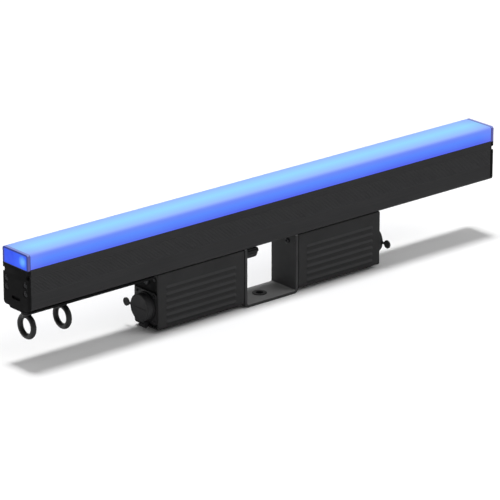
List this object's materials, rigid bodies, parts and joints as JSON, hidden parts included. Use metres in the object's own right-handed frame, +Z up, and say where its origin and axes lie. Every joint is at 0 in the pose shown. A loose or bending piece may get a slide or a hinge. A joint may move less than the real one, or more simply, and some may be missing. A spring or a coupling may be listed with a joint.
{
  "type": "led strip batten",
  "caption": "Long LED light bar with a milky cover, two ribbed electronics cases, capped sockets, a centre yoke and eyebolts for rigging.",
  "frame": {"origin": "centre of the yoke's underside, where a clamp or the floor meets it", "axes": "+X along the batten away from the eyebolts, +Z up through the milky cover, -Y towards the side the batten is viewed from"},
  "size_m": [1, 0.086, 0.196],
  "materials": {
    "body_black": "black anodised, fine satin",
    "case_black": "black powder coat, fine texture",
    "plate_black": "matt black",
    "yoke_black": "black powder coat",
    "cover_milky": "satin opal, lit from inside",
    "window_blue": "opal, lit from inside",
    "board_white": "white solder mask",
    "emitter": "clear over phosphor",
    "gasket_rubber": "matt",
    "screw_black": "black oxide",
    "screw_steel": "zinc plated",
    "eyebolt_black": "black coated, forged",
    "connector_black": "glass filled nylon",
    "insert_grey": "moulded",
    "contact_gold": "gold plated",
    "cap_rubber": "satin moulded",
    "seal_red": "matt silicone",
    "board_green": "solder mask",
    "board_blue": "solder mask",
    "parts_mixed": "component bodies",
    "parts_dark": "component bodies",
    "wire_red": "cable sheath",
    "wire_blue": "cable sheath",
    "knob_plastic": "moulded, fluted"
  },
  "bodies": {
    "batten": {"body_extrusion": "body_black", "diffuser": "cover_milky", "led_board_left": "board_white", "led_board_right": "board_white", "led_emitters": "emitter", "led_board_screws": "screw_steel", "end_gasket_left": "gasket_rubber", "end_gasket_right": "gasket_rubber", "end_plate_left": "plate_black", "end_plate_right": "plate_black", "end_window_left": "window_blue", "end_window_right": "window_blue", "end_screws_left": "screw_black", "end_screws_right": "screw_black", "end_washers": "screw_black", "rigging_plate": "plate_black", "rigging_screws": "screw_steel", "backing_bar": "screw_steel", "eyebolt_nuts": "screw_black", "case_left": "case_black", "case_right": "case_black", "case_gasket_left": "gasket_rubber", "case_gasket_right": "gasket_rubber", "case_screws": "screw_black", "socket_plate_left": "plate_black", "socket_plate_right": "plate_black", "plate_screws": "screw_black", "connector_left": "connector_black", "connector_right": "connector_black", "insert_left": "insert_grey", "insert_right": "insert_grey", "contacts": "contact_gold", "connector_screws": "screw_black", "cap_pins": "screw_black", "vents": "connector_black", "psu_board": "board_green", "psu_parts": "parts_mixed", "driver_board": "board_blue", "driver_parts": "parts_dark", "standoffs": "screw_steel", "loom_left": "wire_red", "loom_right": "wire_red", "loom_link": "wire_blue", "grommets": "gasket_rubber", "yoke": "yoke_black", "yoke_bush": "connector_black", "yoke_bolt": "screw_black", "yoke_spacers": "screw_steel", "yoke_dowels": "screw_black"},
    "cap_left": {"cap_left": "cap_rubber", "cap_seal_left": "seal_red"},
    "cap_right": {"cap_right": "cap_rubber", "cap_seal_right": "seal_red"},
    "eyebolt_outer": {"eyebolt_outer": "eyebolt_black"},
    "eyebolt_inner": {"eyebolt_inner": "eyebolt_black"},
    "knob_carriage": {"knob_washer": "screw_steel"},
    "knob": {"knob": "knob_plastic", "knob_stud": "screw_steel"}
  },
  "joints": [
    {"name": "cap_left_open", "type": "hinge", "parent": "batten", "child": "cap_left", "pos_m": [-0.2465, 0, 0.01], "axis": [0, -1, 0], "range_deg": [0, 90]},
    {"name": "cap_right_open", "type": "hinge", "parent": "batten", "child": "cap_right", "pos_m": [0.2465, 0, 0.01], "axis": [0, 1, 0], "range_deg": [0, 90]},
    {"name": "eyebolt_outer_turn", "type": "hinge", "parent": "batten", "child": "eyebolt_outer", "pos_m": [-0.48, 0, 0.066], "axis": [0, 0, 1], "range_deg": [-90, 90]},
    {"name": "eyebolt_inner_turn", "type": "hinge", "parent": "batten", "child": "eyebolt_inner", "pos_m": [-0.41, 0, 0.066], "axis": [0, 0, 1], "range_deg": [-90, 90]},
    {"name": "knob_back_off", "type": "slide", "parent": "batten", "child": "knob_carriage", "axis": [1, 0, 0], "range_m": [0, 0.0038]},
    {"name": "knob_turn", "type": "hinge", "parent": "knob_carriage", "child": "knob", "pos_m": [-0.0525, -0.01, 0.0875], "axis": [1, 0, 0], "range_deg": [0, 1080]}
  ],
  "couplings": [
    {"joint": "knob_back_off", "follows": "knob_turn", "m_per_rad": 0.00019894}
  ]
}
